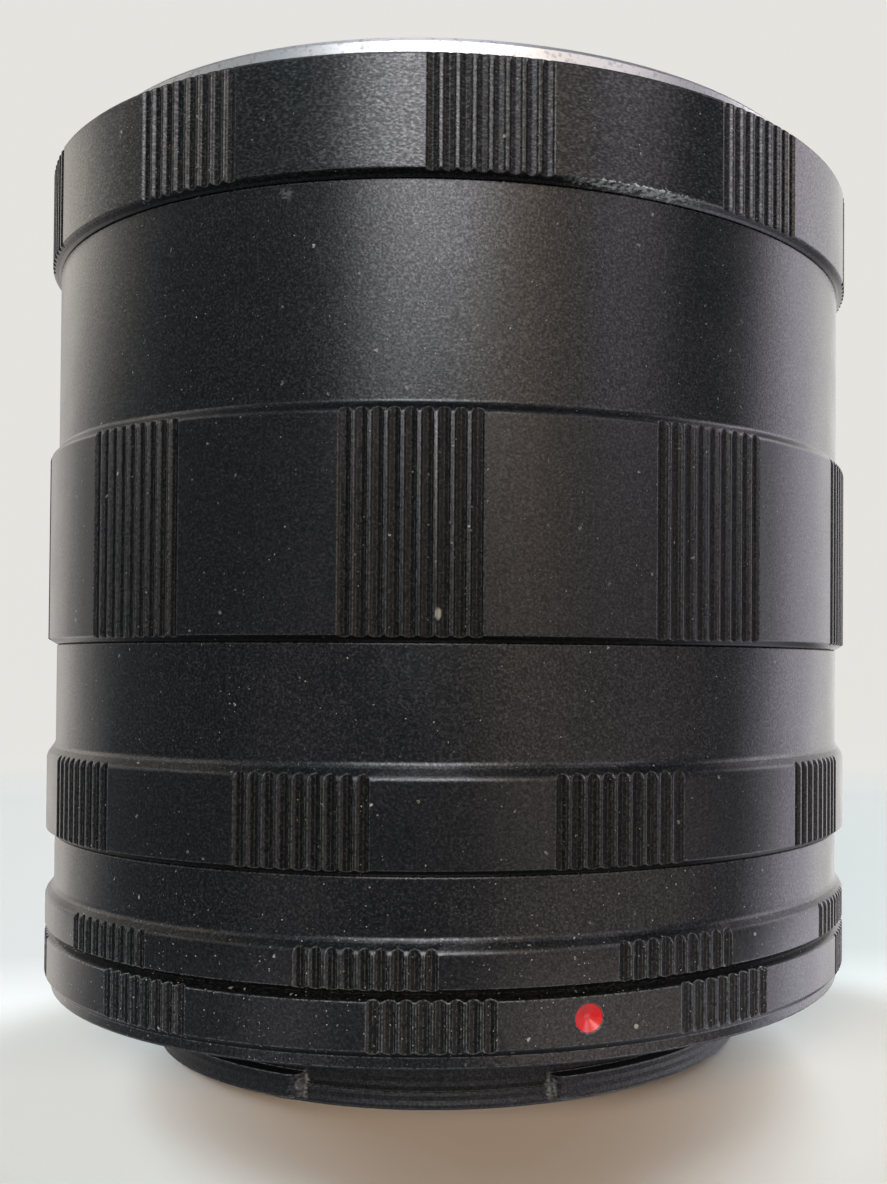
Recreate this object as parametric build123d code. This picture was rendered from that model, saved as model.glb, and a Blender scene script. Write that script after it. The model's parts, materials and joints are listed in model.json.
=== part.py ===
from build123d import *
from math import acos, cos, degrees, hypot, radians, sin
import os

# Macro extension tube: five rings screwed into one stack between a camera and a lens.
# Millimetres. The origin is the centre of the camera flange, +Z runs along the optical axis towards
# the lens, and -Y is the side seen in the photograph. Angles are in degrees round the axis, measured
# from -Y towards +X. Joint names and pieces follow the order of the stack, camera end first.

# Lengths along the optical axis
short_length = 7.0
middle_length = 14.0
long_length = 28.0
camera_ring_height = 4.5
plate_height = 2.1

# Size of the mount: the rim of the male bayonet. Every other radius follows from it.
rim_radius = 22.5

# Male bayonet
throat_wall = 2.0
throat_edge = 0.3
collar_step = 0.2
rim_height = 1.2
rim_edge = 0.15
bayonet_depth = 5.46
flange_margin = 2.2
flange_thickness = 1.4
flange_room = 0.05
register_height = 1.0
lug_count = 3
lug_reach = 0.9
lug_top = 3.45
lug_thickness = 1.55
lug_span = 76.5
lug_end_round = 0.8
lug_first = 55.4

# Female bayonet plate
plate_margin = 1.9
plate_thickness = 3.0
plate_edge = 0.35
plate_room = 0.05
tab_clearance = 0.15
gap_clearance = 0.2
gap_spare_angle = 1.5
lock_turn = 60.0
lens_index_angle = 165.4

# Leaf springs behind the tabs, each held by a rivet that clears a lens's lugs
leaf_thickness = 0.25
leaf_inside = 0.25
leaf_outside = 0.5
leaf_span = 34.0
leaf_flat = 4.0
leaf_drop = 0.3
rivet_clearance = 0.3
rivet_head = 0.9
rivet_head_height = 0.35
rivet_shank = 0.5
rivet_length = 1.5
rivet_room = 0.03
rivet_wall = 0.4

# Rings outside the mount: shoulder round the plate, step down to the smooth tube, bevelled lip
ring_shoulder = 2.37
band_step = 0.61
lip_step = 0.47
lip_height = 0.75
lip_edge = 0.12
lens_ring_edge = 0.15
shoulder_edge = 0.12

# Grip bands: height of each band, and the slope that leads from it to the smooth tube. Both corners of a
# slope are eased by a narrow flat.
short_band = 2.5
middle_band = 5.8
long_band = 13.85
short_slope = 0.77
middle_slope = 0.9
long_slope = 0.61
slope_ease = 0.15
band_foot = 0.4

# Flutes of the grip, in evenly spaced groups. Each is a shallow arc, cut as a few flats.
groups_round = 10
flute_pitch = 1.8
flute_share = 0.86
flute_depth = 0.22
flute_lift = 0.05
flute_flats = 4
tube_flutes = 9
end_ring_flutes = 8

# Angle of one group's middle on each ring, as the threads happened to stop
camera_ring_turn = -2.25
short_turn = -9.5
middle_turn = -17.0
long_turn = -4.97
lens_ring_turn = 3.4

# Screw joints between the rings: a threaded spigot on top of one enters a socket in the next
socket_wall = 1.96
spigot_wall = 1.55
spigot_length = 2.5
thread_room = 0.55
socket_room = 0.2
relief_depth = 0.4
relief_height = 0.4
lead_in = 0.25

# Web behind the male bayonet
web_width = 2.6
web_height = 2.2

# Index dots, painted into drilled dimples
dot_angle = 15.0
dot_drop = 1.7
dot_radius = 0.9
dot_depth = 0.6
dot_sink = 0.04
dot_hollow = 0.36
dot_room = 0.02

# Countersunk screws
screw_count = 4
screw_head = 1.3
screw_shank = 0.7
screw_rim = 0.15
screw_room = 0.03
screw_sink = 0.05
cross_width = 0.35
cross_length = 1.5
cross_depth = 0.5
bayonet_screw_inset = 1.4
bayonet_screw_first = 70.0
bayonet_screw_length = 3.1
plate_screw_inset = 2.2
plate_screw_first = 12.4
plate_screw_length = 4.4

# Lens lock: pin, spring and release lever
notch_offset = 12.0
pin_radius = 0.9
pin_stand = 1.0
pin_edge = 0.2
pin_tail = 0.5
pin_room = 0.05
tail_room = 0.02
notch_room = 0.15
notch_depth = 1.1
lock_travel = 1.2
travel_room = 0.1
arm_thickness = 1.1
arm_below_plate = 0.9
arm_width = 2.0
arm_room = 0.1
arm_nose = 1.0
spring_wire = 0.14
spring_sides = 6
spring_radius = 0.95
spring_turns = 2.5
spring_height = 2.2
spring_pocket = 1.2
spring_floor = 0.5
pocket_wall = 0.45
channel_cover = 0.2
thumb_gap = 0.13
thumb_thickness = 1.4
thumb_width = 6.0
thumb_height = 2.8
thumb_drop = 1.2
thumb_round = 0.4
rib_count = 3
rib_pitch = 0.8
rib_cut = 0.4

# Radii of the two bayonets, which mate with a copy of themselves
throat_radius = rim_radius - throat_wall
collar_radius = rim_radius - collar_step
lug_radius = rim_radius + lug_reach
tab_radius = rim_radius + tab_clearance
gap_radius = lug_radius + gap_clearance
gap_span = lug_span + 2 * gap_spare_angle
rivet_circle = lug_radius + rivet_clearance + rivet_head
plate_register = rivet_circle + rivet_head + rivet_wall
leaf_inner = tab_radius + leaf_inside
leaf_outer = plate_register - leaf_outside
chamber_radius = plate_register + plate_room
pin_circle = chamber_radius + pocket_wall + spring_pocket
plate_radius = pin_circle + plate_margin
plate_screw_circle = plate_radius - plate_screw_inset

# Radii of the rings and their screw joints
band_radius = plate_radius + ring_shoulder
tube_radius = band_radius - band_step
lip_radius = band_radius - lip_step
socket_radius = tube_radius - socket_wall
spigot_radius = socket_radius - thread_room
relief_radius = spigot_radius - relief_depth
bore_radius = spigot_radius - spigot_wall
web_bore = bore_radius - web_width
register_radius = web_bore - flange_room
flange_radius = lip_radius - flange_margin
seat_radius = flange_radius + flange_room
bayonet_screw_circle = web_bore + bayonet_screw_inset
thumb_face = band_radius + thumb_gap
far = 2 * band_radius

# A flute takes a share of its pitch on the band, and its arc goes on to a lift outside the band
flute_half_width = flute_share * band_radius * radians(flute_pitch) / 2
flute_radius = (flute_half_width ** 2 + flute_depth ** 2) / (2 * flute_depth)
flute_centre = band_radius - flute_depth + flute_radius
flute_reach = degrees(acos(1 - (flute_depth + flute_lift) / flute_radius))
crest_radius = hypot(band_radius + flute_lift, flute_radius * sin(radians(flute_reach)))

# Heights that follow: the lens ring is as tall as its socket and the lens lock need
socket_depth = spigot_length + socket_room
lens_ring_height = socket_depth + spring_floor + spring_height + arm_thickness + arm_below_plate
web_top = flange_thickness + web_height

# Levels along the optical axis
short_base = camera_ring_height
middle_base = short_base + short_length
long_base = middle_base + middle_length
lens_base = long_base + long_length
plate_seat = lens_base + lens_ring_height
lens_flange = plate_seat + plate_height
plate_back = lens_flange - plate_thickness
pin_top = lens_flange + pin_stand
arm_top = plate_seat - arm_below_plate
arm_bottom = arm_top - arm_thickness
lock_floor = arm_bottom - spring_height
dot_height = camera_ring_height - dot_drop
lens_dot_height = lens_base + lens_ring_height / 2

# Angles that line up the lens side: lugs enter at the gaps, turn, and stop behind the tabs
lug_pitch = 360 / lug_count
gap_first = lens_index_angle + lug_first - dot_angle
tab_first = gap_first + lock_turn
notch_angle = dot_angle + notch_offset
pin_angle = lens_index_angle + notch_offset + lock_turn


def polar(radius, angle):
    """Plan point at a radius and an angle measured from -Y towards +X."""
    return (radius * sin(radians(angle)), -radius * cos(radians(angle)))


def at(angle, radius=0.0, height=0.0):
    """Place for a piece drawn at the front: out by radius, up by height, then round by angle."""
    return Rot(0, 0, angle) * Pos(0, -radius, height)


def turned(points):
    """Solid turned about the optical axis from a half-section of (radius, height) points."""
    outline = make_face(Polyline(*points, close=True))
    return revolve(Plane.XZ * outline, Axis.Z)


def disc(radius, low, high):
    """Plain cylinder round the local Z axis between two heights."""
    return extrude(Pos(0, 0, low) * Circle(radius), high - low)


def sector(inner, outer, low, high, middle, span):
    """Piece of a flat ring, given by its radii, heights, middle angle and span."""
    start = middle - span / 2
    finish = middle + span / 2
    outline = Wire([
        Line(polar(inner, start), polar(outer, start)).edge(),
        ThreePointArc(polar(outer, start), polar(outer, middle), polar(outer, finish)).edge(),
        Line(polar(outer, finish), polar(inner, finish)).edge(),
        ThreePointArc(polar(inner, finish), polar(inner, middle), polar(inner, start)).edge(),
    ])
    return extrude(Pos(0, 0, low) * Face(outline), high - low)


def eased(before, corner, after):
    """Two points that replace a corner of a half-section by a narrow flat."""
    middle = Vector(*corner)
    points = [middle + slope_ease * (Vector(*side) - middle).normalized() for side in (before, after)]
    return [(point.X, point.Y) for point in points]


def flute_points(middle):
    """Plan points of one flute: corners of its flats, round a shallow arc that opens outwards."""
    x, y = polar(flute_centre, middle)
    points = []
    for index in range(flute_flats + 1):
        turn = flute_reach * (1 - 2 * index / flute_flats)
        across, along = polar(flute_radius, middle - 180 + turn)
        points.append((x + across, y + along))
    return points


def fluted(turned_ring, flutes, group_middle):
    """Cut the grip into a ring: groups of concave flutes with plain arcs of band between them.

    The plan outline lies just outside the band on the plain arcs and on the narrow crests, so only the
    flutes cut metal. They are deep enough to run out through the band's slopes in arched ends.
    """
    group_pitch = 360 / groups_round
    outlines = [
        flute_points(group_middle + group * group_pitch + (flute - (flutes - 1) / 2) * flute_pitch)
        for group in range(groups_round)
        for flute in range(flutes)
    ]
    edges = []
    for index, points in enumerate(outlines):
        following = outlines[(index + 1) % len(outlines)]
        edges += Polyline(*points).edges()
        edges.append(RadiusArc(points[-1], following[0], -crest_radius).edge())
    box = turned_ring.bounding_box()
    outline = Pos(0, 0, box.min.Z - 1) * Face(Wire(edges))
    return turned_ring & extrude(outline, box.size.Z + 2)


def socket_points(base):
    """Half-section of the threaded socket under a ring, from its roof down to the joint face."""
    return [
        (socket_radius, base + socket_depth),
        (socket_radius, base + lead_in),
        (socket_radius + lead_in, base),
    ]


def spigot_points(shoulder):
    """Half-section of the threaded spigot on a ring, from its relief groove up to its tip."""
    return [
        (relief_radius, shoulder),
        (relief_radius, shoulder + relief_height),
        (spigot_radius, shoulder + relief_height + relief_depth),
        (spigot_radius, shoulder + spigot_length - lead_in),
        (spigot_radius - lead_in, shoulder + spigot_length),
        (bore_radius, shoulder + spigot_length),
    ]


def make_tube(base, length, band, slope, turn):
    """One extension tube: socket and grip band at the camera end, spigot at the lens end."""
    shoulder = base + length
    foot_corner = (band_radius, base + band_foot)
    band_corner = (band_radius, base + band)
    slope_corner = (tube_radius, base + band + slope)
    blank = turned([
        (bore_radius, base + socket_depth),
        *socket_points(base),
        (tube_radius, base),
        foot_corner,
        *eased(foot_corner, band_corner, slope_corner),
        *eased(band_corner, slope_corner, (tube_radius, shoulder)),
        (tube_radius, shoulder - shoulder_edge),
        (tube_radius - shoulder_edge, shoulder),
        *spigot_points(shoulder),
    ])
    return fluted(blank, tube_flutes, turn)


def make_screw(length):
    """Countersunk screw with a cross recess, its flat head on z = 0 and its shank pointing down."""
    screw = turned([
        (0, 0),
        (screw_head, 0),
        (screw_head, -screw_rim),
        (screw_shank, -screw_rim - screw_head + screw_shank),
        (screw_shank, -length),
        (0, -length),
    ])
    for turn in (0, 90):
        screw -= Rot(0, 0, turn) * Box(cross_length, cross_width, 2 * cross_depth)
    return screw


def make_screw_hole(length):
    """The space that a screw needs: its own form with a little room all round and an open top."""
    head = screw_head + screw_room
    shank = screw_shank + screw_room
    return turned([
        (0, 1),
        (head, 1),
        (head, -screw_rim),
        (shank, -screw_rim - head + shank),
        (shank, -length - screw_room),
        (0, -length - screw_room),
    ])


def screw_places(circle, first, height, flip):
    """Where the screws of one plate go; flip is 180 for heads that look towards the camera."""
    step = 360 / screw_count
    return [at(first + step * index, circle, height) * Rot(flip, 0, 0) for index in range(screw_count)]


bayonet_screws = screw_places(bayonet_screw_circle, bayonet_screw_first, screw_sink, 180)
plate_screws = screw_places(plate_screw_circle, plate_screw_first, lens_flange - screw_sink, 0)


def dimple(angle, height):
    """Place of an index dot: on the band, with local Z pointing outwards."""
    return at(angle, band_radius, height) * Rot(90, 0, 0)


def make_dot():
    """Paint in the bottom of a drilled dimple, with the hollow that the drill point leaves."""
    wall = dot_radius - dot_room
    return turned([
        (0, -dot_depth),
        (wall, -dot_depth),
        (wall, -dot_sink),
        (0, -dot_sink - dot_hollow),
    ])


def make_camera_ring():
    """Camera mount ring: seat for the bayonet below, grip band outside, threaded spigot above."""
    ring = fluted(turned([
        (web_bore, flange_thickness),
        (seat_radius, flange_thickness),
        (seat_radius, 0),
        (lip_radius - lip_edge, 0),
        (lip_radius, lip_edge),
        (lip_radius, lip_height),
        (band_radius, lip_height + band_radius - lip_radius),
        (band_radius, camera_ring_height - band_foot),
        (tube_radius, camera_ring_height),
        *spigot_points(camera_ring_height),
        (bore_radius, web_top),
        (web_bore, web_top),
    ]), end_ring_flutes, camera_ring_turn)
    for place in bayonet_screws:
        ring -= place * make_screw_hole(bayonet_screw_length)
    return ring - dimple(dot_angle, dot_height) * disc(dot_radius, -dot_depth, 1)


def make_camera_bayonet():
    """Male bayonet: flange let into the ring, collar with a slightly proud rim, and three lugs."""
    bayonet = turned([
        (throat_radius + throat_edge, -bayonet_depth),
        (rim_radius - rim_edge, -bayonet_depth),
        (rim_radius, -bayonet_depth + rim_edge),
        (rim_radius, -bayonet_depth + rim_height),
        (collar_radius, -bayonet_depth + rim_height),
        (collar_radius, 0),
        (flange_radius, 0),
        (flange_radius, flange_thickness),
        (register_radius, flange_thickness),
        (register_radius, flange_thickness + register_height),
        (throat_radius, flange_thickness + register_height),
        (throat_radius, -bayonet_depth + throat_edge),
    ])
    for index in range(lug_count):
        middle = lug_first + index * lug_pitch
        root = (throat_radius + collar_radius) / 2
        lug = sector(root, lug_radius, -lug_top - lug_thickness, -lug_top, middle, lug_span)
        outer_corners = lug.edges().filter_by(Axis.Z).group_by(SortBy.DISTANCE)[-1]
        bayonet += fillet(outer_corners, lug_end_round)
    for place in bayonet_screws:
        bayonet -= place * make_screw_hole(bayonet_screw_length)
    return bayonet - at(notch_angle, pin_circle) * disc(pin_radius + notch_room, -1, notch_depth)


def make_lens_ring():
    """Lens mount ring: socket below, chamber for a lens's lugs, seat for the plate, lens lock."""
    ring = fluted(turned([
        (chamber_radius, lens_base + socket_depth),
        *socket_points(lens_base),
        (tube_radius, lens_base),
        (band_radius, lens_base + band_foot),
        (band_radius, plate_seat - lens_ring_edge),
        (band_radius - lens_ring_edge, plate_seat),
        (chamber_radius, plate_seat),
    ]), end_ring_flutes, lens_ring_turn)
    for place in plate_screws:
        ring -= place * make_screw_hole(plate_screw_length)
    ring -= dimple(lens_index_angle, lens_dot_height) * disc(dot_radius, -dot_depth, 1)
    # The lock's pocket is milled from above under the plate, and a closed slot lets the arm out
    lowest = arm_bottom - lock_travel - travel_room
    channel = arm_width + 2 * arm_room
    ring -= at(pin_angle, pin_circle) * disc(spring_pocket, lock_floor, plate_seat + 1)
    channel_length = plate_radius - channel_cover - pin_circle
    ring -= at(pin_angle, pin_circle + channel_length / 2, lowest) * Box(
        channel, channel_length, plate_seat + 1 - lowest, align=(Align.CENTER, Align.CENTER, Align.MIN))
    return ring - at(pin_angle, pin_circle, lowest) * Box(
        channel, far, arm_top + travel_room - lowest, align=(Align.CENTER, Align.MAX, Align.MIN))


def make_plate():
    """Chromed plate: flat flange, register in the ring, and three tabs left by the entry gaps."""
    plate = turned([
        (tab_radius, plate_back),
        (plate_register, plate_back),
        (plate_register, plate_seat),
        (plate_radius, plate_seat),
        (plate_radius, lens_flange - plate_edge),
        (plate_radius - plate_edge, lens_flange),
        (tab_radius, lens_flange),
    ])
    for index in range(lug_count):
        middle = gap_first + index * lug_pitch
        plate -= sector(tab_radius - 1, gap_radius, plate_back - 1, lens_flange + 1, middle, gap_span)
    for place in plate_screws:
        plate -= place * make_screw_hole(plate_screw_length)
    for index in range(lug_count):
        hole = disc(rivet_shank + rivet_room, plate_back - 1, plate_back + rivet_length + rivet_room)
        plate -= at(tab_first + index * lug_pitch, rivet_circle) * hole
    return plate - at(pin_angle, pin_circle) * disc(pin_radius + pin_room, plate_back, lens_flange + 1)


def make_leaf(middle):
    """Flat spring behind one tab: held in the middle, with both arms sloping away from the tab."""
    reach = leaf_outer * sin(radians(leaf_span / 2))
    profile = make_face(Polyline(
        (-reach, plate_back - leaf_drop),
        (-leaf_flat / 2, plate_back),
        (leaf_flat / 2, plate_back),
        (reach, plate_back - leaf_drop),
        (reach, plate_back - leaf_drop - leaf_thickness),
        (leaf_flat / 2, plate_back - leaf_thickness),
        (-leaf_flat / 2, plate_back - leaf_thickness),
        (-reach, plate_back - leaf_drop - leaf_thickness),
        close=True))
    strip = extrude(Plane.XZ * profile, leaf_outer + 1)
    depth = leaf_drop + leaf_thickness + 1
    outline = sector(leaf_inner, leaf_outer, plate_back - depth, plate_back + 1, 0, leaf_span)
    hole = Pos(0, -rivet_circle) * disc(rivet_shank + rivet_room, plate_back - depth, plate_back + 1)
    return at(middle) * ((strip & outline) - hole)


def make_rivet(middle):
    """Rivet that holds one leaf spring: head below the leaf, shank in the plate."""
    low = plate_back - leaf_thickness
    rivet = turned([
        (0, low - rivet_head_height),
        (rivet_head, low - rivet_head_height),
        (rivet_head, low),
        (rivet_shank, low),
        (rivet_shank, plate_back + rivet_length),
        (0, plate_back + rivet_length),
    ])
    return at(middle, rivet_circle) * rivet


def make_lock_pin():
    """Lock pin: bevelled head above the flange, shoulder on the arm, tail in the arm's hole."""
    pin = turned([
        (0, arm_bottom),
        (pin_tail, arm_bottom),
        (pin_tail, arm_top),
        (pin_radius, arm_top),
        (pin_radius, pin_top - pin_edge),
        (pin_radius - pin_edge, pin_top),
        (0, pin_top),
    ])
    return at(pin_angle, pin_circle) * pin


def make_lock_spring():
    """Coil spring between the floor of its pocket and the underside of the arm."""
    height = arm_bottom - lock_floor - 2 * spring_wire
    path = Helix(height / spring_turns, height, spring_radius)
    section = Plane(path @ 0, z_dir=path % 0) * RegularPolygon(spring_wire, spring_sides)
    coil = sweep(section, path, is_frenet=True)
    return at(pin_angle, pin_circle, lock_floor + spring_wire) * coil


def make_release_lever():
    """Release lever: arm through the slot and a ribbed thumb piece outside the ring."""
    arm_length = thumb_face - pin_circle + arm_nose
    arm = Pos(0, arm_nose) * Box(arm_width, arm_length, arm_thickness,
                                 align=(Align.CENTER, Align.MAX, Align.MIN))
    arm = fillet(arm.edges().filter_by(Axis.Z).group_by(Axis.Y)[-1], arm_width / 2 - arm_room)
    thumb = Pos(0, pin_circle - thumb_face, -thumb_drop) * Box(
        thumb_width, thumb_thickness, thumb_height, align=(Align.CENTER, Align.MAX, Align.MIN))
    thumb = fillet(thumb.edges().filter_by(Axis.Y), thumb_round)
    outside = pin_circle - thumb_face - thumb_thickness
    middle = thumb_height / 2 - thumb_drop
    for index in range(rib_count):
        groove_height = middle + (index - (rib_count - 1) / 2) * rib_pitch
        thumb -= Pos(0, outside, groove_height) * Rot(45, 0, 0) * Box(far, rib_cut, rib_cut)
    lever = arm + thumb - disc(pin_tail + tail_room, -1, arm_thickness + 1)
    return at(pin_angle, pin_circle, arm_bottom) * lever


parts = {
    "camera_mount_ring": make_camera_ring(),
    "camera_bayonet": make_camera_bayonet(),
    "index_dot": dimple(dot_angle, dot_height) * make_dot(),
    "tube_7": make_tube(short_base, short_length, short_band, short_slope, short_turn),
    "tube_14": make_tube(middle_base, middle_length, middle_band, middle_slope, middle_turn),
    "tube_28": make_tube(long_base, long_length, long_band, long_slope, long_turn),
    "lens_mount_ring": make_lens_ring(),
    "lens_bayonet_plate": make_plate(),
    "lens_index_dot": dimple(lens_index_angle, lens_dot_height) * make_dot(),
    "lock_pin": make_lock_pin(),
    "lock_spring": make_lock_spring(),
    "release_lever": make_release_lever(),
}
for index in range(screw_count):
    parts[f"bayonet_screw_{index + 1}"] = bayonet_screws[index] * make_screw(bayonet_screw_length)
    parts[f"plate_screw_{index + 1}"] = plate_screws[index] * make_screw(plate_screw_length)
for index in range(lug_count):
    tab_middle = tab_first + index * lug_pitch
    parts[f"leaf_spring_{index + 1}"] = make_leaf(tab_middle)
    parts[f"leaf_rivet_{index + 1}"] = make_rivet(tab_middle)

os.makedirs("parts", exist_ok=True)
for name, solid in parts.items():
    export_step(solid, f"parts/{name}.step")
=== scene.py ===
# %% [markdown]
# # A macro extension tube on a pale studio floor
# The part comes from its CAD model, five rings screwed into one stack between two bayonets. This file
# dresses it: a camera, a stage and soft light, a finish for every piece, and the fine things that a CAD
# model leaves out, such as threads and dust. First the model is loaded as a fixed frame, and its box is
# kept.

import json
from math import cos, pi, radians, sin

import bpy
from mathutils import Matrix, Vector


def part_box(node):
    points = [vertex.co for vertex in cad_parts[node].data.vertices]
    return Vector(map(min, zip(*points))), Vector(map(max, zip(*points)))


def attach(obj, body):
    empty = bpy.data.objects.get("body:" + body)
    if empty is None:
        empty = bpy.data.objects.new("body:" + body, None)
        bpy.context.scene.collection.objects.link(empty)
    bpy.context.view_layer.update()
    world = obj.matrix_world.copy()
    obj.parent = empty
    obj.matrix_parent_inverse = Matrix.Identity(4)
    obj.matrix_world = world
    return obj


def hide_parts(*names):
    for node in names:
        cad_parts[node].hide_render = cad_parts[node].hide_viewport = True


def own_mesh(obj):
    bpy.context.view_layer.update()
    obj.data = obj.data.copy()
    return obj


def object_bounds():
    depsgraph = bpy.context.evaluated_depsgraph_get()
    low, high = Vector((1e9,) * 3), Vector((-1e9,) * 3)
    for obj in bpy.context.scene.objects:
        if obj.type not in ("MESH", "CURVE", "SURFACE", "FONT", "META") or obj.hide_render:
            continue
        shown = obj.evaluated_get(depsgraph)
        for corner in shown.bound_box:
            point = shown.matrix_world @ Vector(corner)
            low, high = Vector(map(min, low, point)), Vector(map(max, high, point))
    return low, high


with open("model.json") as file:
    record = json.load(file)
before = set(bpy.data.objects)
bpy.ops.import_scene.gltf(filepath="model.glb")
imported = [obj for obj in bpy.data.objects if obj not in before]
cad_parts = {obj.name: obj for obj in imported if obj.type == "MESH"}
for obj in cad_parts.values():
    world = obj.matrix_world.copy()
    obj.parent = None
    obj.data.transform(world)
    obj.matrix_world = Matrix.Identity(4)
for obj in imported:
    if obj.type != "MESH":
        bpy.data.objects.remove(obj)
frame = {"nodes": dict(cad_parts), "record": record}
cad_low, cad_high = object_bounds()
nodes = frame["nodes"]
mm = 0.001
print("nodes:", len(nodes), "box in mm:", [round(side / mm, 2) for side in cad_high - cad_low])

# %% [markdown]
# ## Camera
# The picture was taken from only a hand's width away, almost level, so the stack looks swollen in the
# middle and its rings curve more and more towards the top. A real camera has a place, a direction and a
# focal length, and that is how this one is set. The object sits a little off the middle of the picture:
# the lens shift moves it there without turning the camera.

# %% Camera
camera_place = Vector((0.0, -108.29, 24.13)) * mm
camera_yaw = -0.0811
camera_pitch = 0.0157
camera_roll = 0.0068

level_right = Vector((cos(camera_yaw), sin(camera_yaw), 0))
level_ahead = Vector((-sin(camera_yaw), cos(camera_yaw), 0))
ahead = cos(camera_pitch) * level_ahead + sin(camera_pitch) * Vector((0, 0, 1))
plain_up = cos(camera_pitch) * Vector((0, 0, 1)) - sin(camera_pitch) * level_ahead
right = cos(camera_roll) * level_right + sin(camera_roll) * plain_up
up = cos(camera_roll) * plain_up - sin(camera_roll) * level_right

lens = bpy.data.cameras.new("studio_camera")
lens.lens = 38.95
lens.sensor_width = 36
lens.shift_x = -0.0981
lens.shift_y = 0.0453
lens.clip_start = 0.005
camera = bpy.data.objects.new("studio_camera", lens)
camera.matrix_world = Matrix.Translation(camera_place) @ Matrix((right, up, -ahead)).transposed().to_4x4()
bpy.context.scene.collection.objects.link(camera)
bpy.context.scene.camera = camera
print("camera is", round(camera_place.length / mm), "mm from the camera flange")

# %% [markdown]
# ## Small helpers
# Materials and the world are built from nodes. Making a node, setting it and plugging things into it
# takes several lines each time, so one helper does it, and a few short ones on top of it do sums. Two
# more make a mesh object, from corner points and faces or from an outline that is turned on a lathe.

# %% Helpers
def add_node(tree, kind, plugs=None, **settings):
    """Make a shader node; plugs gives each input socket a value or another node's output."""
    node = tree.nodes.new(kind)
    for name, value in settings.items():
        setattr(node, name, value)
    for name, value in (plugs or {}).items():
        if isinstance(value, bpy.types.NodeSocket):
            tree.links.new(value, node.inputs[name])
        else:
            node.inputs[name].default_value = value
    return node


def math_node(tree, operation, first, second):
    """One sum on two values or outputs."""
    return add_node(tree, "ShaderNodeMath", {0: first, 1: second}, operation=operation).outputs[0]


def multiply(tree, first, second):
    """The product of two values or outputs."""
    return math_node(tree, "MULTIPLY", first, second)


def vector_node(tree, operation, *terms, scale=None):
    """One sum on vectors; LENGTH and DOT_PRODUCT give a number."""
    plugs = dict(enumerate(terms))
    if scale is not None:
        plugs["Scale"] = scale
    made = add_node(tree, "ShaderNodeVectorMath", plugs, operation=operation)
    return made.outputs["Value" if operation in ("LENGTH", "DOT_PRODUCT") else "Vector"]


def map_range(tree, value, source, target):
    """Carry a value from one range to another, and stop at its ends."""
    return add_node(tree, "ShaderNodeMapRange", {
        "Value": value, "From Min": source[0], "From Max": source[1],
        "To Min": target[0], "To Max": target[1]}).outputs[0]


def mix(tree, share, first, second):
    """Blend two numbers."""
    return add_node(tree, "ShaderNodeMix", {0: share, 2: first, 3: second}, data_type="FLOAT").outputs[0]


def mix_colour(tree, share, first, second):
    """Blend two colours."""
    return add_node(tree, "ShaderNodeMix", {0: share, 6: first, 7: second}, data_type="RGBA").outputs[2]


def add_mesh(name, points, faces):
    """Make a smooth mesh object from corner points in metres."""
    mesh = bpy.data.meshes.new(name)
    mesh.from_pydata(points, [], faces)
    mesh.shade_smooth()
    made = bpy.data.objects.new(name, mesh)
    bpy.context.scene.collection.objects.link(made)
    return made


def lathe(name, outline, steps):
    """Turn an open outline of (radius, height) points round the optical axis."""
    points = []
    faces = []
    for step in range(steps):
        angle = 2 * pi * step / steps
        points += [(radius * sin(angle), -radius * cos(angle), height) for radius, height in outline]
        for row in range(len(outline) - 1):
            here = step * len(outline) + row
            there = (step + 1) % steps * len(outline) + row
            faces.append((here, there, there + 1, here + 1))
    return add_mesh(name, points, faces)

# %% [markdown]
# ## Stage
# A photographer would stand the object on a sheet of pale card that curves up at the far end, so that
# no edge shows behind it. Here the sheet is a wide round bowl: flat where the object stands, and curved
# up all round, so the object has a plain ground behind it from every side. Away from the object the
# card's colour is made a little greyer. This is painted shade that keeps the card from glaring where the
# light from both sides meets, and its wall glows evenly. The bowl lets light through and throws none
# back, so the shadow in front stays as dark as it is.

# %% Floor and backdrop
floor_level = cad_low.z
flat_radius = 0.30
bend_radius = 0.16
wall_height = 0.60
bend_steps = 12
steps_round = 96

bowl_outline = [(0.0, floor_level), (flat_radius, floor_level)]
for step in range(1, bend_steps + 1):
    bend = radians(90 * step / bend_steps)
    bowl_outline.append((flat_radius + bend_radius * sin(bend),
                         floor_level + bend_radius * (1 - cos(bend))))
bowl_outline.append((flat_radius + bend_radius, floor_level + wall_height))
stage = lathe("paper_bowl", bowl_outline, steps_round)
stage.visible_glossy = False
stage.visible_diffuse = False
stage.visible_shadow = False

print("floor is at", round(floor_level / mm, 2), "mm")

# %% Paper
paper_white = 0.75
painted_shade_grey = 0.65
painted_shade_behind = (-15 * mm, 25 * mm)
painted_shade_outward = (40 * mm, 75 * mm)
wall_start = (0.20, 0.31)
glow_tint = (1.0, 0.985, 0.94, 1)
glow_strength = 0.78

paper = bpy.data.materials.new("pale_paper")
paper.use_nodes = True
paper_shader = paper.node_tree.nodes["Principled BSDF"]
paper_shader.inputs["Roughness"].default_value = 0.9
paper_shader.inputs["Specular IOR Level"].default_value = 0.1
paper_shader.inputs["Emission Color"].default_value = glow_tint
sheet = paper.node_tree
stage_point = add_node(sheet, "ShaderNodeTexCoord").outputs["Object"]
stage_parts = add_node(sheet, "ShaderNodeSeparateXYZ", {0: stage_point})
stage_distance = vector_node(sheet, "LENGTH", stage_point)
# Painted shade: the paper is greyed behind the object and away from it, where both windows light it.
behind = map_range(sheet, stage_parts.outputs["Y"], painted_shade_behind, (1.0, painted_shade_grey))
outward = map_range(sheet, stage_distance, painted_shade_outward, (1.0, painted_shade_grey))
on_wall = map_range(sheet, stage_distance, wall_start, (0, 1))
on_floor = math_node(sheet, "SUBTRACT", 1.0, on_wall)
shade = multiply(sheet, math_node(sheet, "MINIMUM", behind, outward), on_floor)
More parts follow.
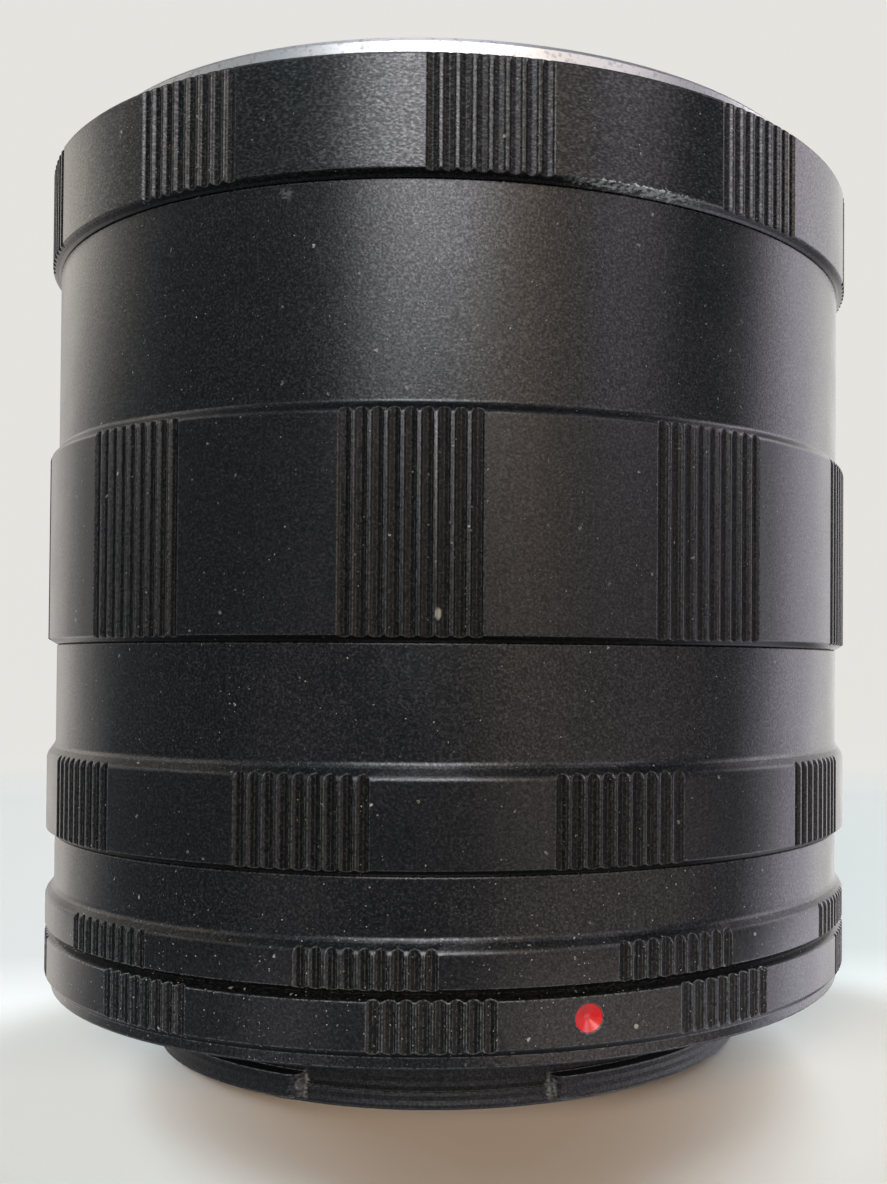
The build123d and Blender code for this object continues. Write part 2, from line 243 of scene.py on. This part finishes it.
paper_colour = vector_node(sheet, "SCALE", (paper_white,) * 3, scale=shade)
sheet.links.new(paper_colour, paper_shader.inputs["Base Color"])
sheet.links.new(multiply(sheet, on_wall, glow_strength), paper_shader.inputs["Emission Strength"])
stage.data.materials.append(paper)
print("paper nodes:", len(sheet.nodes))

# %% [markdown]
# ## What the object mirrors
# A black object is drawn by what it mirrors. In the picture both sides of the stack fade to grey,
# because they mirror white walls behind it; the quarters next to them are nearly black; a lamp high up in
# front makes the broad soft gleam on the long tube; and to the right of it something warm and dim stands
# in front. The world colour is made of such soft cards, each set by where it stands as seen from the
# object, so only mirrored rays meet them. The bowl is hidden from those rays and doesn't cover the cards.

# %% Soft cards round the object
scene = bpy.context.scene
scene.view_settings.view_transform = "Standard"
world = bpy.data.worlds.new("mirrored_studio")
world.use_nodes = True
world.cycles.sampling_method = "NONE"
world.cycles_visibility.diffuse = False
scene.world = world
sky = world.node_tree
sky.nodes.clear()

# Middle, half width and soft edge: first round the object in degrees, where 0 is towards the camera and
# 90 is the object's right, then in height, where 0 is level and 1 is straight up. Last the colour.
cards = {
    "right_wall": ((111, 14, 12), (-0.33, 0.61, 0.09), (1.88, 1.79, 2.00)),
    "right_wall_high": ((110, 13, 7), (0.53, 0.23, 0.11), (2.50, 2.28, 2.54)),
    "right_wall_far": ((143, 20, 6), (0.11, 0.39, 0.09), (1.28, 1.23, 1.17)),
    "left_wall": ((-124, 11, 24), (0.32, 0.08, 0.07), (1.63, 1.49, 1.28)),
    "left_wall_far": ((-141, 18, 17), (-0.07, 0.41, 0.17), (1.08, 0.99, 0.89)),
    "left_wall_high": ((-100, 28, 14), (0.59, 0.12, 0.10), (1.00, 0.91, 0.82)),
    "ceiling_behind": ((-162, 28, 14), (1.00, 0.08, 0.09), (2.34, 2.35, 2.69)),
    "lamp": ((-9, 16, 8), (0.52, 0.19, 0.16), (7.40, 7.38, 7.79)),
    "lamp_side": ((17, 8.5, 10), (0.37, 0.25, 0.22), (1.69, 1.32, 0.97)),
    "warm_table": ((43, 30, 11), (-0.34, 0.32, 0.29), (0.67, 0.54, 0.50)),
    "window": ((46, 11, 7), (0.49, 0.24, 0.22), (1.46, 1.33, 1.43)),
    "left_table": ((-44, 12, 4), (-0.28, 0.26, 0.25), (0.22, 0.20, 0.20)),
    "left_shelf": ((-40, 15, 13), (0.62, 0.19, 0.15), (0.47, 0.61, 0.66)),
}
room_colour = (0.140, 0.157, 0.185)

toward = add_node(sky, "ShaderNodeTexCoord").outputs["Generated"]
toward_parts = add_node(sky, "ShaderNodeSeparateXYZ", {0: toward})
toward_front = multiply(sky, toward_parts.outputs["Y"], -1.0)
azimuth = math_node(sky, "ARCTAN2", toward_parts.outputs["X"], toward_front)


def soft_share(value, half, edge):
    """1 where the value is nearer to 0 than half, fading over the edge to 0 beyond it."""
    away = math_node(sky, "ABSOLUTE", value, 0.0)
    return map_range(sky, away, (half - edge, half + edge), (1, 0))


seen = room_colour
for (turn, half_turn, turn_edge), (rise, half_rise, rise_edge), colour in cards.values():
    apart = math_node(sky, "SUBTRACT", azimuth, radians(turn))
    apart = add_node(sky, "ShaderNodeMath", {0: apart, 1: pi, 2: -pi}, operation="WRAP").outputs[0]
    above = math_node(sky, "SUBTRACT", toward_parts.outputs["Z"], rise)
    share = multiply(sky, soft_share(apart, radians(half_turn), radians(turn_edge)),
                     soft_share(above, half_rise, rise_edge))
    seen = vector_node(sky, "ADD", seen, vector_node(sky, "SCALE", colour, scale=share))
background = add_node(sky, "ShaderNodeBackground", {"Color": seen, "Strength": 1.0})
add_node(sky, "ShaderNodeOutputWorld", {"Surface": background.outputs[0]})
print("soft cards:", len(cards))

# %% [markdown]
# ## Lamps
# The lamps light the paper, the paint and the dust, and give the object its soft shadow. None of them is
# mirrored, because the cards are there for that. Two wide, low windows stand behind the object on the
# left and on the right. Their shadows meet in front of it, where only a weak warm light reaches, and that
# makes the dark brownish patch on the floor under the camera. The windows light only the paper. The
# object's sides and back have a dimmer light of their own, so the dust doesn't glare there.

# %% Lamps
lamp_distance = 0.3


def add_light(name, azimuth, elevation, softness, radiance, tint, paper_state=None):
    """Wide far light, by the direction it comes from and its width in degrees; radiance as on white paper.

    The paper state INCLUDE lights only the paper, and EXCLUDE all but the paper.
    """
    lamp = bpy.data.lights.new(name, "SUN")
    lamp.energy = radiance * pi
    lamp.angle = radians(softness)
    lamp.color = tint
    out = Vector((
        sin(radians(azimuth)) * cos(radians(elevation)),
        -cos(radians(azimuth)) * cos(radians(elevation)),
        sin(radians(elevation))))
    placed = bpy.data.objects.new(name, lamp)
    placed.location = lamp_distance * out
    placed.rotation_euler = out.to_track_quat("Z", "Y").to_euler()
    placed.visible_glossy = False
    scene.collection.objects.link(placed)
    if paper_state:
        lit = bpy.data.collections.new(f"{name}_on_paper")
        lit.objects.link(stage)
        lit.collection_objects[0].light_linking.link_state = paper_state
        placed.light_linking.receiver_collection = lit


add_light("left_window", -135, 15, 25, 2.72, (0.79, 0.94, 1.0), "INCLUDE")
add_light("right_window", 148, 15, 32, 3.00, (0.87, 0.97, 1.0), "INCLUDE")
add_light("warm_room", -10, 15, 50, 1.33, (1.0, 0.72, 0.50))
for side in (-100, 100, 180):
    add_light(f"dim_room_{side % 360}", side, 35, 60, 0.55, (0.86, 0.95, 1.0), "EXCLUDE")

# %% [markdown]
# ## Places on the metal
# The rings' finishes change from place to place: grain, rubbed edges, dust. All this could be
# photographed and laid on as an image, but an image would blur close up and show seams. So it is worked
# out at each point of the metal, from its height and its distance from the optical axis, with noise at
# the size of the real grain. The Bevel node tells how near a sharp edge a point is.

# %% Places, noise and edges
def places(tree):
    """The point on the object, its x, y and z, and its distance from the optical axis, in metres."""
    point = add_node(tree, "ShaderNodeTexCoord").outputs["Object"]
    parts = add_node(tree, "ShaderNodeSeparateXYZ", {0: point})
    level = add_node(tree, "ShaderNodeCombineXYZ", {"X": parts.outputs["X"], "Y": parts.outputs["Y"]})
    return point, parts, vector_node(tree, "LENGTH", level.outputs[0])


def noise(tree, point, size, detail=2.0, stretch=(1, 1, 1)):
    """Noise with features of a size in metres; stretch makes them longer along x, y and z."""
    scale = [1 / (size * length) for length in stretch]
    mapping = add_node(tree, "ShaderNodeMapping", {"Vector": point, "Scale": scale}, vector_type="POINT")
    return add_node(tree, "ShaderNodeTexNoise", {
        "Vector": mapping.outputs[0], "Scale": 1.0, "Detail": detail}).outputs["Fac"]


def edges(tree, reach):
    """Normals rounded over the sharp edges, and how near an edge the point is, from 0 to 1."""
    soft = add_node(tree, "ShaderNodeBevel", {"Radius": reach}, samples=4).outputs[0]
    true = add_node(tree, "ShaderNodeNewGeometry").outputs["Normal"]
    return soft, map_range(tree, vector_node(tree, "DOT_PRODUCT", soft, true), (0.99, 0.80), (0, 1))


def new_finish(name, colour, metallic, roughness):
    """Material with its Principled shader set; detail is plugged in afterwards."""
    material = bpy.data.materials.new(name)
    material.use_nodes = True
    shader = material.node_tree.nodes["Principled BSDF"]
    shader.inputs["Base Color"].default_value = (*colour, 1)
    shader.inputs["Metallic"].default_value = metallic
    shader.inputs["Roughness"].default_value = roughness
    material.diffuse_color = (*colour, 1)
    return material, material.node_tree, shader

# %% [markdown]
# ## Grain
# The tubes are blasted with fine beads before they are dyed, so they are covered with small dents that
# sparkle. The bands are a little smoother, and the band of the lens ring is coarser and slightly brushed
# round. One noise value from 0 to 1 stands for the grain here, and later gives the dents, the shine and
# the pale grains, so that they fall in the same places.

# %% Grain
band_start = (31.45 * mm, 31.65 * mm)
lens_ring_foot = (53.6 * mm, 53.8 * mm)
tube_contrast = 0.76
band_contrast = 0.60
lens_ring_contrast = 1.0
blasted_size = 0.15 * mm
brushed_size = 0.13 * mm
brushed_stretch = (1.8, 1.8, 1)


def metal_grain(tree, point, height, radius):
    """Grain of the black metal from 0 to 1, about 0.5, with its contrast set for each place."""
    on_band = map_range(tree, radius, band_start, (0, 1))
    on_lens_ring = map_range(tree, height, lens_ring_foot, (0, 1))
    elsewhere = math_node(tree, "SUBTRACT", 1.0, on_lens_ring)
    contrast = mix(tree, multiply(tree, on_band, elsewhere), tube_contrast, band_contrast)
    contrast = mix(tree, on_lens_ring, contrast, lens_ring_contrast)
    blasted = noise(tree, point, blasted_size, 2.5)
    brushed = noise(tree, point, brushed_size, 3.0, stretch=brushed_stretch)
    grain = mix(tree, multiply(tree, on_band, on_lens_ring), blasted, brushed)
    return mix(tree, contrast, 0.5, map_range(tree, grain, (0.30, 0.70), (0, 1)))

# %% [markdown]
# ## Marks of use and painted highlights
# Years of use have left a chip on the long tube's upper corner and a flake on its band. A pale streak is
# laid along part of the foot of the lens ring. A painted highlight on the end of each lug stands for the
# light that the lug's end face catches. The chip and the flake could be cut into the metal, but they are
# only skin deep, so each mark is a small ellipse of another colour. Noise strays its outline and breaks it
# up.

# %% Marks
# Place as degrees round from the camera side and height in mm, half width in degrees and half height in
# mm, how ragged from 0 to 1, colour
marks = {
    "chipped_corner": ((-19.6, 52.84), (1.10, 0.42), 1.0, (0.050, 0.068, 0.088)),
    "paint_flake": ((-1.9, 27.17), (0.38, 0.45), 0.2, (0.24, 0.29, 0.31)),
    "foot_streak": ((21.0, 53.78), (9.5, 0.23), 1.0, (0.42, 0.60, 0.80)),
    # The two lug ends are painted highlights, where the end faces catch the light.
    "lug_end_left_painted_highlight": ((-26.2, -4.3), (0.8, 1.1), 1.0, (0.13, 0.17, 0.21)),
    "lug_end_right_painted_highlight": ((17.0, -4.3), (0.8, 1.1), 1.0, (0.13, 0.17, 0.21)),
}
stray_turn = 0.030
stray_height = 0.9 * mm
stray_size = 0.30 * mm
breakup_size = 0.14 * mm
breakup_stretch = (2, 2, 1)


def marked(tree, point, parts, below):
    """Lay the marks of use, the foot streak and the painted highlights on the lug ends over a colour."""
    front = multiply(tree, parts.outputs["Y"], -1.0)
    angle = math_node(tree, "ARCTAN2", parts.outputs["X"], front)
    place = add_node(tree, "ShaderNodeCombineXYZ", {"X": angle, "Y": parts.outputs["Z"]}).outputs[0]
    uneven = add_node(tree, "ShaderNodeTexNoise", {
        "Vector": point, "Scale": 1 / stray_size, "Detail": 3.0}).outputs["Color"]
    ragged_breakup = map_range(tree, noise(tree, point, breakup_size, 2.0, stretch=breakup_stretch), (0.34, 0.58), (0, 1))
    for (turn, height), (half_turn, half_height), ragged, colour in marks.values():
        stray = (ragged * stray_turn, ragged * stray_height, 0)
        middle = (radians(turn) + stray[0] / 2, height * mm + stray[1] / 2, 0)
        away = vector_node(tree, "MULTIPLY_ADD", uneven, stray, place)
        away = vector_node(tree, "SUBTRACT", away, middle)
        away = vector_node(tree, "MULTIPLY", away, (1 / radians(half_turn), 1 / (half_height * mm), 0))
        inside = map_range(tree, vector_node(tree, "LENGTH", away), (1.0, 0.5), (0, 1))
        share = multiply(tree, inside, mix(tree, ragged, 1.0, ragged_breakup))
        below = mix_colour(tree, share, below, (*colour, 1))
    return below


print("marks:", len(marks))

# %% [markdown]
# ## Dust
# Dust shows as pale specks in two sizes, most on the lowest rings, which stand nearest the table. Specks
# could be scattered as small meshes, but they are too many and too flat. A Voronoi texture has one cell
# for each speck: chance says which cells hold one, how large and how bright it is, and noise makes its
# outline ragged.

# %% Dust
coarse_spacing = 0.95 * mm
coarse_radius = 0.15 * mm
fine_spacing = 0.32 * mm
fine_radius = 0.06 * mm
coarse_shares = (0.35, 0.55)
fine_shares = (0.40, 0.95)
brightness = (1.1, 2.6)
thin_dust = 0.35
drift_size = 2.5 * mm
dusty_heights = (3 * mm, 13 * mm)
dust_colour = (0.24, 0.30, 0.35, 1)


def specks(tree, point, spacing, largest, share):
    """1 in scattered ragged specks, 0 elsewhere: spacing and largest radius in metres."""
    ragged = add_node(tree, "ShaderNodeTexNoise", {"Vector": point, "Scale": 1 / largest, "Detail": 1.0})
    ragged = vector_node(tree, "MULTIPLY_ADD", ragged.outputs["Color"], (2 * largest,) * 3, point)
    cells = add_node(tree, "ShaderNodeTexVoronoi", {"Vector": ragged, "Scale": 1 / spacing})
    chance = add_node(tree, "ShaderNodeSeparateColor", {0: cells.outputs["Color"]})
    least = math_node(tree, "SUBTRACT", 1.0, share)
    size = map_range(tree, chance.outputs["Red"], (least, 1), (0, largest / spacing))
    room = math_node(tree, "SUBTRACT", size, cells.outputs["Distance"])
    strength = map_range(tree, chance.outputs["Green"], (0, 1), (0.2, 1.0))
    return multiply(tree, map_range(tree, room, (0, 0.4 * largest / spacing), (0, 1)), strength)


def settled_dust(tree, point, low, amount):
    """How much dust covers the metal, where low says how low the place is, from 0 to 1."""
    coarse_share = map_range(tree, low, (0, 1), coarse_shares)
    fine_share = map_range(tree, low, (0, 1), fine_shares)
    fluff = math_node(tree, "MAXIMUM", specks(tree, point, coarse_spacing, coarse_radius, coarse_share),
                      specks(tree, point, fine_spacing, fine_radius, fine_share))
    drifts = map_range(tree, noise(tree, point, drift_size, 2.0), (0.35, 0.60),
                       (thin_dust * amount, amount))
    return multiply(tree, fluff, multiply(tree, drifts, map_range(tree, low, (0, 1), brightness)))

# %% [markdown]
# ## Black anodised aluminium
# The dye makes the metal nearly black, so what shows is mostly its shine. That is stronger on the camera
# ring, which hands have polished, and weak on the slopes beside the bands and in the flutes. Sharp edges
# are rubbed bare in patches, most on the low rings. Inside, the bores are cut in fine ribs and dull, so
# that no stray light bounces towards the camera: a bump does for ribs that are as small as these.

# %% Black finish
black = (0.003, 0.003, 0.0032)
edge_reach = 0.14 * mm
grain_depth = 0.003 * mm
bore_edge = (27.6 * mm, 27.7 * mm)
rib_width = 0.3 * mm
rib_steepness = 0.4
slope_start = (31.42 * mm, 31.47 * mm)
slope_end = (31.70 * mm, 31.77 * mm)
slope_shine = 0.40
handled_heights = (3.4 * mm, 7.4 * mm)
handled_shine = 1.45
grain_shine = (0.27, 0.80)
bare_patch_size = 0.22 * mm
cloud_size = 4 * mm
cloud_roughness = (0.22, 0.27)
dull_roughness = 0.6
grain_dark = (0.001, 0.0012, 0.0014, 1)
grain_pale = (0.024, 0.029, 0.036, 1)
bare_high = (0.090, 0.120, 0.150, 1)
bare_low = (0.20, 0.28, 0.36, 1)


def black_metal(name, dust):
    """Black anodised aluminium: sparkling grain, bare metal at worn corners, marks with painted highlights,
    dust, ribbed bores.
    """
    material, tree, shader = new_finish(name, black, 0.0, 0.24)
    shader.inputs["IOR"].default_value = 1.6
    point, parts, radius = places(tree)
    height = parts.outputs["Z"]
    soft, near_edge = edges(tree, edge_reach)
    grain = metal_grain(tree, point, height, radius)

    in_bore = map_range(tree, radius, bore_edge, (1, 0))
    rib = math_node(tree, "PINGPONG", height, rib_width)
    ribbed = add_node(tree, "ShaderNodeBump", {
        "Height": multiply(tree, rib, in_bore), "Strength": 1.0, "Distance": rib_steepness, "Normal": soft})
    bump = add_node(tree, "ShaderNodeBump", {
        "Height": grain, "Strength": 1.0, "Distance": grain_depth, "Normal": ribbed.outputs[0]})
    tree.links.new(bump.outputs[0], shader.inputs["Normal"])

    shine = map_range(tree, math_node(tree, "POWER", grain, 1.5), (0, 1), grain_shine)
    handled = map_range(tree, height, handled_heights, (handled_shine, 1.0))
    on_slope = multiply(tree, map_range(tree, radius, slope_start, (0, 1)),
                        map_range(tree, radius, slope_end, (1, 0)))
    shine = multiply(tree, shine, map_range(tree, on_slope, (0, 1), (1.0, slope_shine)))
    tree.links.new(multiply(tree, shine, handled), shader.inputs["Specular IOR Level"])

    low = map_range(tree, height, dusty_heights, (1, 0))
    pale = mix_colour(tree, math_node(tree, "POWER", grain, 3.5), grain_dark, grain_pale)
    patchy = map_range(tree, noise(tree, point, bare_patch_size, 3.0), (0.38, 0.58), (0, 1))
    bare = mix_colour(tree, low, bare_high, bare_low)
    worn_and_painted_highlights = mix_colour(tree, multiply(tree, near_edge, patchy), pale, bare)
    # The marks include painted highlights on the lug ends.
    worn_and_painted_highlights = marked(tree, point, parts, worn_and_painted_highlights)
    fluff = multiply(tree, settled_dust(tree, point, low, dust), math_node(tree, "SUBTRACT", 1.0, in_bore))
    tree.links.new(mix_colour(tree, fluff, worn_and_painted_highlights, dust_colour), shader.inputs["Base Color"])

    cloudy = map_range(tree, noise(tree, point, cloud_size, 3.0), (0.3, 0.7), cloud_roughness)
    dull = multiply(tree, math_node(tree, "MAXIMUM", fluff, in_bore), dull_roughness)
    tree.links.new(math_node(tree, "MAXIMUM", cloudy, dull), shader.inputs["Roughness"])
    return material


finishes = {
    "black_anodised": black_metal("black_anodised", 1.0),
    "black_bayonet": black_metal("black_bayonet", 0.6),
}
print("black finishes:", sorted(finishes))

# %% [markdown]
# ## Chrome and steel
# The lens side's plate is brass with satin chrome on it, turned on a lathe, so very fine rings run round
# it, and handling has left dull spots. Screws, springs and the lock are plain or blackened steel. The
# rings could be real grooves, but they are finer than any mesh should be. A noise that changes only with
# the radius and the height, and not round the axis, gives the same rings as a bump.

# %% Bright metals
bright_reach = 0.06 * mm
turned_size = 0.06 * mm
spot_size = 0.35 * mm
spot_shade = 0.45
spot_roughness = 0.25


def bright_metal(name, colour, roughness, lines, spots):
    """Plated or plain steel: fine turned rings, dull spots and slightly rounded edges."""
    material, tree, shader = new_finish(name, colour, 1.0, roughness)
    point, parts, radius = places(tree)
    soft = edges(tree, bright_reach)[0]
    across = add_node(tree, "ShaderNodeCombineXYZ", {"X": radius, "Z": parts.outputs["Z"]}).outputs[0]
    rings = noise(tree, across, turned_size, 2.0)
    bump = add_node(tree, "ShaderNodeBump", {
        "Height": rings, "Strength": 1.0, "Distance": lines, "Normal": soft})
    tree.links.new(bump.outputs[0], shader.inputs["Normal"])
    handled = map_range(tree, noise(tree, point, spot_size, 4.0), (0.54, 0.70), (0, 1))
    dull = multiply(tree, handled, spots)
    tarnish = mix_colour(tree, dull, (*colour, 1), tuple(part * spot_shade for part in colour) + (1,))
    tree.links.new(tarnish, shader.inputs["Base Color"])
    rough = map_range(tree, dull, (0, 1), (roughness, roughness + spot_roughness))
    tree.links.new(rough, shader.inputs["Roughness"])
    return material


# Colour, roughness, depth of the turned lines, strength of the dull spots
bright_metals = {
    "chrome_plate": ((0.80, 0.79, 0.77), 0.38, 0.002 * mm, 0.6),
    "plated_screws": ((0.62, 0.62, 0.61), 0.28, 0.002 * mm, 0.4),
    "black_screws": ((0.045, 0.045, 0.048), 0.38, 0.002 * mm, 0.3),
    "spring_steel": ((0.50, 0.50, 0.49), 0.30, 0.001 * mm, 0.4),
    "lock_steel": ((0.66, 0.66, 0.65), 0.22, 0.001 * mm, 0.3),
}
for name, values in bright_metals.items():
    finishes[name] = bright_metal(name, *values)
print("bright metals:", len(bright_metals))

# %% [markdown]
# ## Index paint
# A drop of gloss paint in a drilled dimple shows where the ring is to be set, on either side of the part.
# Paint dries with a smooth skin over an uneven body. The shader's coat is that skin, and one noise gives
# both the lumps and the shades under it, which a plain coloured material would lack.

# %% Index paint
lump_size = 0.5 * mm
lump_height = 0.05 * mm
paint_shade = 0.75


def gloss_paint(name, colour):
    """Thick gloss paint with a slightly uneven surface."""
    material, tree, shader = new_finish(name, colour, 0.0, 0.22)
    shader.inputs["Coat Weight"].default_value = 1.0
    shader.inputs["Coat Roughness"].default_value = 0.10
    shader.inputs["Coat IOR"].default_value = 1.7
    point = places(tree)[0]
    lumps = noise(tree, point, lump_size, 2.0)
    bump = add_node(tree, "ShaderNodeBump", {"Height": lumps, "Strength": 0.6, "Distance": lump_height})
    tree.links.new(bump.outputs[0], shader.inputs["Normal"])
    shade = mix_colour(tree, map_range(tree, lumps, (0.35, 0.65), (0, 1)),
                       (*colour, 1), tuple(part * paint_shade for part in colour) + (1,))
    tree.links.new(shade, shader.inputs["Base Color"])
    return material


finishes["red_paint"] = gloss_paint("red_paint", (0.58, 0.010, 0.016))
finishes["white_paint"] = gloss_paint("white_paint", (0.78, 0.78, 0.75))
print("finishes:", len(finishes))

# %% [markdown]
# ## A finish for each piece
# Each piece of the real part is made of one metal with one finish. The CAD model's record names it, so it
# is looked up there and not written out a second time. Only the material is set: the mesh stays as it is.

# %% Every CAD node takes its finish
slot_of = {part["node"]: part["material_slot"] for part in frame["record"]["subparts"]}
for name, node in nodes.items():
    node.data.materials.clear()
    node.data.materials.append(finishes[slot_of[name]])
print("pieces with a finish:", len(nodes))

# %% [markdown]
# ## Soft corners
# The model's faces come with hard borders between them, so the narrow flats on the bands' slopes and in
# the flutes would look like facets. On the metal they are rounded by the cutter. Joining the faces and
# shading over every edge that turns by less than 30 degrees rounds them, and weighting the shading by
# area keeps the large faces flat.

# %% Smooth shading over slight edges
merge_reach = 0.0002 * mm
slight_turn = 30
joined = bpy.data.node_groups.new("joined_faces", "GeometryNodeTree")
for way in ("INPUT", "OUTPUT"):
    joined.interface.new_socket("Geometry", in_out=way, socket_type="NodeSocketGeometry")
shape = add_node(joined, "NodeGroupInput").outputs[0]
shape = add_node(joined, "GeometryNodeMergeByDistance", {
    "Geometry": shape, "Distance": merge_reach}).outputs[0]
shape = add_node(joined, "GeometryNodeRemoveAttribute", {
    "Geometry": shape, "Name": "custom_normal"}).outputs[0]
shape = add_node(joined, "GeometryNodeSetShadeSmooth", {"Geometry": shape}, domain="FACE").outputs[0]
edge_turn = add_node(joined, "GeometryNodeInputMeshEdgeAngle").outputs[0]
slight = add_node(joined, "FunctionNodeCompare", {
    0: edge_turn, 1: radians(slight_turn)}, operation="LESS_THAN").outputs[0]
shape = add_node(joined, "GeometryNodeSetShadeSmooth", {
    "Geometry": shape, "Shade Smooth": slight}, domain="EDGE").outputs[0]
add_node(joined, "NodeGroupOutput", {0: shape})
for node in nodes.values():
    node.modifiers.new("joined_faces", "NODES").node_group = joined
    weighted = node.modifiers.new("weighted_normals", "WEIGHTED_NORMAL")
    weighted.keep_sharp = True
    weighted.weight = 100
print("shading joined on", len(nodes), "nodes")

# %% [markdown]
# ## Screw threads
# The rings hold together by fine threads that show only when they are screwed apart. The CAD model has
# plain spigots and sockets with room for the crests. A thread is one ridge wound in a helix: a small
# triangle is carried round the axis while it climbs, and it shrinks to nothing at both ends, as a cutter
# runs in and out.

# %% Threads
thread_pitch = 0.75 * mm
spigot_radius = 28.75 * mm
socket_radius = 29.30 * mm
crest_gap = 0.025 * mm
spigot_length = 2.5 * mm
relief = 0.85 * mm
lead_in = 0.25 * mm
crest_middle = (spigot_radius + socket_radius) / 2
steps_a_turn = 120
fade_steps = 12
root_half = 0.48
crest_half = 0.06


def add_thread(name, root, crest, low, high, body):
    """Helical ridge from a root radius to a crest radius between two heights."""
    turns = (high - low - thread_pitch) / thread_pitch
    steps = round(turns * steps_a_turn)
    points = []
    faces = []
    for step in range(steps + 1):
        angle = 2 * pi * step / steps_a_turn
        middle = low + thread_pitch / 2 + thread_pitch * step / steps_a_turn
        fade = min(1, step / fade_steps, (steps - step) / fade_steps)
        faded_crest = root + fade * (crest - root)
        for radius, rise in ((root, -root_half), (faded_crest, -crest_half),
                             (faded_crest, crest_half), (root, root_half)):
            points.append((radius * sin(angle), -radius * cos(angle), middle + rise * thread_pitch))
        if step:
            for row in range(3):
                here = 4 * step + row
                faces.append((here - 4, here, here + 1, here - 3))
    thread = add_mesh(name, points, faces)
    thread.data.materials.append(finishes["black_anodised"])
    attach(thread, body)


stack = [("camera_mount_ring", "camera_mount"), ("tube_7", "short_tube"), ("tube_14", "middle_tube"),
         ("tube_28", "long_tube"), ("lens_mount_ring", "lens_mount")]
sink = 0.02 * mm
for ring, body in stack[:-1]:
    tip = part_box(ring)[1].z
    add_thread(f"spigot_thread_{ring}", spigot_radius - sink, crest_middle - crest_gap,
               tip - spigot_length + relief, tip - lead_in, body)
for ring, body in stack[1:]:
    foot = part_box(ring)[0].z
    add_thread(f"socket_thread_{ring}", socket_radius + sink, crest_middle + crest_gap,
               foot + lead_in, foot + spigot_length, body)

# %% [markdown]
# ## Lock spring
# A coil spring under the lock pin is squeezed when the release lever goes down. The CAD solid is rigid,
# so a coil of round wire stands for it here and rides with the lens mount: a curve with a round bevel
# is turned into a mesh.

# %% Coil
pin_low, pin_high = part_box("lock_pin")
pin_middle = (pin_low + pin_high) / 2
spring_low, spring_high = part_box("lock_spring")
wire_radius = 0.14 * mm
coil_radius = 0.95 * mm
coil_turns = 2.5
coil_steps = 60

coil_line = bpy.data.curves.new("lock_spring_line", "CURVE")
coil_line.dimensions = "3D"
coil_line.bevel_depth = wire_radius
coil_line.bevel_resolution = 4
coil_line.use_fill_caps = True
turn_line = coil_line.splines.new("POLY")
turn_line.points.add(coil_steps)
climb = spring_high.z - spring_low.z - 2 * wire_radius
for step, corner in enumerate(turn_line.points):
    angle = 2 * pi * coil_turns * step / coil_steps
    rise = wire_radius + climb * step / coil_steps
    corner.co = (coil_radius * cos(angle), coil_radius * sin(angle), rise, 1)
coil_shape = bpy.data.objects.new("lock_spring_line", coil_line)
coil_mesh = bpy.data.meshes.new_from_object(coil_shape)
coil_mesh.transform(Matrix.Translation((pin_middle.x, pin_middle.y, spring_low.z)))
coil = bpy.data.objects.new("lock_spring_coil", coil_mesh)
scene.collection.objects.link(coil)
coil.data.materials.clear()
coil.data.materials.append(finishes["spring_steel"])
bpy.data.objects.remove(coil_shape)
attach(coil, "lens_mount")
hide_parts("lock_spring")
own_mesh(coil)
